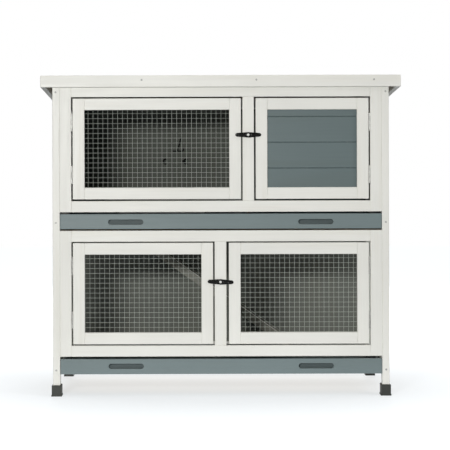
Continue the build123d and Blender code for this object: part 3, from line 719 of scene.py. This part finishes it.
def make_screws():
    """Domed cross-head screws in place of the plain ones in the frame, fascia and latches."""
    material = zinc("screw_zinc", (0.50, 0.50, 0.48, 1.0), 0.38, 42)
    for node in ("frame_screws", "fascia_screws"):
        bm = bmesh.new()
        for low, high in islands(node):
            x, z = (low.x + high.x) / 2, (low.z + high.z) / 2
            radius = (high.x - low.x) / 2
            seat = low.y + SCREW_HEAD_HEIGHT
            matrix = front_facing(x, seat, z)
            domed_head(bm, matrix, radius, SCREW_HEAD_HEIGHT, luck.uniform(0, math.pi / 2))
            round_bar(bm, matrix, SCREW_SHANK, seat - high.y, -SHANK_TUCK)
        new_piece(f"domed_{node}", bm, "hutch", "screw_steel", material, node)
    bm = bmesh.new()
    for low, high in islands("latch_screws"):
        x, z = (low.x + high.x) / 2, (low.z + high.z) / 2
        seat = low.y + LATCH_HEAD_HEIGHT
        matrix = front_facing(x, seat, z)
        spin = luck.uniform(0, math.pi / 2)
        domed_head(bm, matrix, LATCH_HEAD_RADIUS, LATCH_HEAD_HEIGHT, spin)
        round_bar(bm, matrix, LATCH_SHANK, seat - high.y, -SHANK_TUCK)
        face = seat - LATCH_FRONT
        round_bar(bm, matrix, SPACER_RADIUS, seat - face, seat - face + SPACER_LENGTH, 32)
    # Painted reflection: a light, barely metallic zinc stands in for the shine of bright metal.
    painted_reflection_zinc = zinc("latch_screw_zinc", (0.84, 0.84, 0.81, 1.0), 0.34, 43, 0.2)
    new_piece("domed_latch_screws", bm, "hutch", "screw_steel", painted_reflection_zinc, "latch_screws")


# ---------------------------------------------------------------- latches

LATCH_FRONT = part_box("leg_front_left")[0].y
LATCH_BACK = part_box("latch_upper")[1].y
LATCH_TILTS = (("latch_lower", 2.0), ("latch_upper", 0.0))

# The casting is drawn in millimetres, and pillow() turns them into metres
LATCH_REACH = 36.0
LATCH_END = 6.0
LATCH_MIDDLE = 9.0
BAR_HEIGHT = 2.7
BOSS_RADIUS = 8.4
BOSS_HEIGHT = 3.6
RIB_START = 11.0
RIB_RADII = (2.6, 1.8)
RIB_BASE = 1.4
RIB_HEIGHT = 2.0
PILLOW_STEPS = 20


def pillow(bm, circles, base, height):
    """Add the domed hull of a few circles, given in millimetres, from a base height."""
    levels = ((0.0, 1.0), (0.42, 1.0), (0.75, 0.86), (0.93, 0.62), (1.0, 0.32))
    verts = []
    for x, y, radius in circles:
        for level, share in levels:
            for step in range(PILLOW_STEPS):
                angle = 2 * math.pi * step / PILLOW_STEPS
                place = Vector(
                    (x + radius * share * math.cos(angle), y + radius * share * math.sin(angle))
                ).to_3d()
                place.z = base + level * height
                verts.append(bm.verts.new(place * MM))
    made = bmesh.ops.convex_hull(bm, input=verts)
    spare = {item for item in made["geom_interior"] + made["geom_unused"]}
    bmesh.ops.delete(bm, geom=[v for v in spare if isinstance(v, bmesh.types.BMVert)])


def latch_shape():
    """A plain tapered bar with a boss and a rib along each arm, drawn flat with its front to +Z."""
    bm = bmesh.new()
    ends = [(side * LATCH_REACH, 0.0, LATCH_END) for side in (-1, 1)]
    pillow(bm, [*ends, (0.0, 0.0, LATCH_MIDDLE)], 0.0, BAR_HEIGHT)
    pillow(bm, [(0.0, 0.0, BOSS_RADIUS)], 0.0, BOSS_HEIGHT)
    inner, outer = RIB_RADII
    for side in (-1, 1):
        rib = [(side * RIB_START, 0.0, inner), (side * LATCH_REACH, 0.0, outer)]
        pillow(bm, rib, RIB_BASE, RIB_HEIGHT)
    return bm


def cast_mesh(name, bm):
    """One closed skin over overlapping parts, with its edges softened as in a casting."""
    mesh = bpy.data.meshes.new(name)
    bm.to_mesh(mesh)
    bm.free()
    rough = bpy.data.objects.new(name, mesh)
    scene.collection.objects.link(rough)
    skin = rough.modifiers.new("skin", "REMESH")
    skin.mode = "VOXEL"
    skin.voxel_size = 0.42 * MM
    soften = rough.modifiers.new("soften", "SMOOTH")
    soften.factor = 0.5
    soften.iterations = 3
    thin = rough.modifiers.new("thin", "DECIMATE")
    thin.ratio = 0.45
    depsgraph = bpy.context.evaluated_depsgraph_get()
    made = bpy.data.meshes.new_from_object(rough.evaluated_get(depsgraph))
    bpy.data.objects.remove(rough)
    return made


def make_latches():
    """Cast turn buttons in place of the two flat ones."""
    material = black_casting("latch_iron")
    flat = cast_mesh("latch_casting", latch_shape())
    screws = sorted(islands("latch_screws"), key=lambda box: box[0].z)
    for (low, high), (node, tilt) in zip(screws, LATCH_TILTS):
        bm = bmesh.new()
        bm.from_mesh(flat)
        place = front_facing((low.x + high.x) / 2, LATCH_BACK, (low.z + high.z) / 2)
        turn = Matrix.Rotation(math.radians(-tilt), 4, "Z")
        bmesh.ops.transform(bm, matrix=place @ turn, verts=bm.verts)
        new_piece(f"{node}_casting", bm, node, "black_iron", material, node, sharp=60.0)
    bpy.data.meshes.remove(flat)


# ---------------------------------------------------------------- floor, light and camera

KEY_PLACE = (-1.12, -4.38, 1.28)
KEY_POWER = 103.5
SIDE_FILLS = (
    ("left_fill", (-3.2, -1.9, 1.0), 3.0),
    ("right_fill", (3.2, -1.9, 1.0), 8.0),
    ("high_right_fill", (3.0, -2.2, 2.6), 36.0),
)
TOP_POWER = 56.0
BACK_POWER = 110.0
WORLD_POWER = 0.04
FLOOR_SHADOW_GLOW = 0.665
FLOOR_BOUNCE = (0.70, 0.0)
CAMERA_PLACE = (-0.067, -5.7265, 0.766)
CAMERA_LENS = 134.6
CAMERA_SHIFT = (0.0556, -0.1456)
CAMERA_ROLL = 0.17


def make_floor():
    """A plain pale floor that glows more to the camera than on to the hutch, and less near the hutch:
    a painted shadow round it.
    """
    bm = bmesh.new()
    bmesh.ops.create_grid(bm, x_segments=4, y_segments=4, size=9.0)
    mesh = bpy.data.meshes.new("floor")
    bm.to_mesh(mesh)
    bm.free()
    mesh.shade_smooth()
    box = Paintbox("floor_paper")
    cloud = box.noise(box.place((1.2, 1.2, 1.2)), 1.0, 3.0, 0.5)
    colour = box.blend(cloud, (0.33, 0.345, 0.362, 1.0), (0.352, 0.368, 0.385, 1.0))
    box.finish(colour, 0.85, Specular_IOR_Level=0.1)
    far = box.node("ShaderNodeVectorMath", Vector=box.place((1.0, 1.3, 1.0)))
    far.operation = "LENGTH"
    # Painted shadow: the glow seen by the camera is lower near the hutch.
    seen_glow = box.remap(far.outputs["Value"], 0.55, 1.6, FLOOR_SHADOW_GLOW, 1.0)
    bounce = box.remap(far.outputs["Value"], 0.45, 1.5, *FLOOR_BOUNCE)
    ray = box.tree.nodes.new("ShaderNodeLightPath").outputs["Is Camera Ray"]
    glow = box.remap(ray, 0.0, 1.0, bounce, seen_glow)
    box.put(box.shader.inputs["Emission Strength"], glow)
    box.shader.inputs["Emission Color"].default_value = (0.965, 0.99, 1.0, 1.0)
    mesh.materials.append(box.material)
    floor = bpy.data.objects.new("floor", mesh)
    scene.collection.objects.link(floor)


def soft_light(name, place, target, size, power, colour=(1.0, 1.0, 1.0)):
    """A rectangular soft light that points at a target."""
    lamp = bpy.data.lights.new(name, "AREA")
    lamp.shape = "RECTANGLE"
    lamp.size, lamp.size_y = size
    lamp.energy = power
    lamp.color = colour
    made = bpy.data.objects.new(name, lamp)
    made.location = place
    made.rotation_euler = (Vector(target) - Vector(place)).to_track_quat("-Z", "Y").to_euler()
    scene.collection.objects.link(made)


def make_light():
    """A small key light by the camera, soft fills above, beside and behind, and a pale surround."""
    middle = (0.0, 0.0, 0.55)
    soft_light("key", KEY_PLACE, middle, (0.75, 0.36), KEY_POWER, (1.0, 0.995, 0.97))
    soft_light("top_fill", (0.0, -0.4, 4.4), (0.0, -0.4, 0.0), (4.5, 3.5), TOP_POWER)
    for name, place, power in SIDE_FILLS:
        soft_light(name, place, middle, (1.2, 1.6), power)
    soft_light("back_fill", (0.0, 4.0, 1.7), middle, (3.2, 2.0), BACK_POWER)
    world = bpy.data.worlds.new("surround")
    world.use_nodes = True
    tree = world.node_tree
    surround = tree.nodes["Background"]
    surround.inputs["Color"].default_value = (0.985, 0.99, 1.0, 1.0)
    surround.inputs["Strength"].default_value = WORLD_POWER
    paper = tree.nodes.new("ShaderNodeBackground")
    paper.inputs["Color"].default_value = (1.0, 1.0, 1.0, 1.0)
    seen = tree.nodes.new("ShaderNodeLightPath")
    either = tree.nodes.new("ShaderNodeMixShader")
    tree.links.new(seen.outputs["Is Camera Ray"], either.inputs["Fac"])
    tree.links.new(surround.outputs["Background"], either.inputs[1])
    tree.links.new(paper.outputs["Background"], either.inputs[2])
    tree.links.new(either.outputs["Shader"], tree.nodes["World Output"].inputs["Surface"])
    scene.world = world


def make_camera():
    """The camera stands a little left of the middle, level with the upper storey's floor."""
    lens = bpy.data.cameras.new("camera")
    lens.lens = CAMERA_LENS
    lens.sensor_width = 36.0
    lens.shift_x, lens.shift_y = CAMERA_SHIFT
    camera = bpy.data.objects.new("camera", lens)
    camera.location = CAMERA_PLACE
    camera.rotation_euler = (math.radians(90), math.radians(CAMERA_ROLL), 0.0)
    scene.collection.objects.link(camera)
    scene.camera = camera


# ---------------------------------------------------------------- build

scene.view_settings.view_transform = "Standard"
dress_frame()
make_meshes()
make_screws()
make_latches()
make_floor()
make_light()
make_camera()
